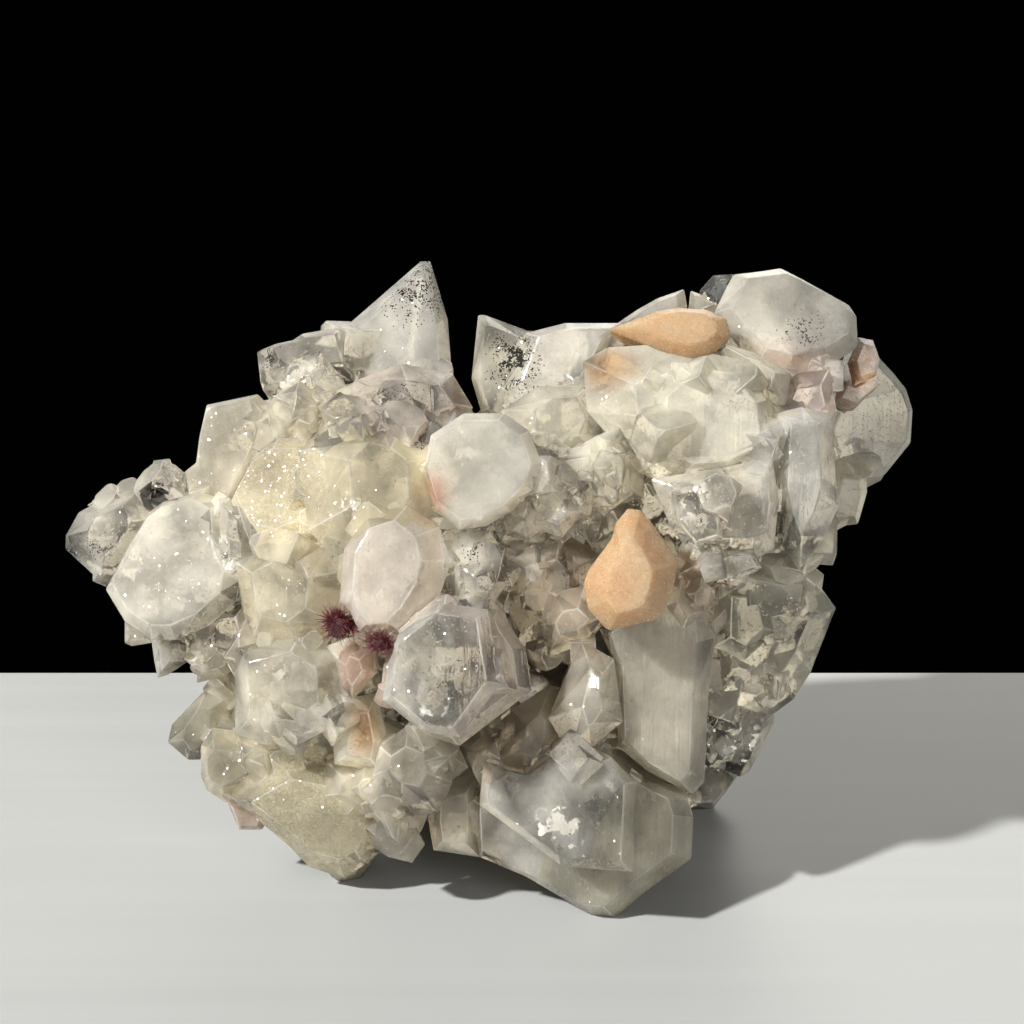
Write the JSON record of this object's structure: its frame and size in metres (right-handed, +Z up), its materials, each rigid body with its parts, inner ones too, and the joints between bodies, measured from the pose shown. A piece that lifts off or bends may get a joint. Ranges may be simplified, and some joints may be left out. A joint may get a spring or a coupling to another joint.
{
  "type": "apophyllite crystal cluster",
  "caption": "Free-standing cluster of blocky translucent apophyllite crystals grown together, with peach stilbite lenses and tufts of dark red needles seated in its show face.",
  "frame": {"origin": "on the ground under the middle of the cluster's box", "axes": "+X to the right along the cluster's longest way as its show face is seen, +Y from the show face towards the back, +Z up"},
  "size_m": [0.1266, 0.0694, 0.0861],
  "materials": {
    "apophyllite": "polished",
    "stilbite": "satin",
    "pink_stilbite": "satin",
    "red_needles": "matte"
  },
  "bodies": {
    "root": {"apophyllite_cluster": "apophyllite", "stilbite_front": "stilbite", "stilbite_top": "stilbite", "stilbite_right": "pink_stilbite", "red_needle_tuft_left": "red_needles", "red_needle_tuft_right": "red_needles"}
  },
  "joints": []
}
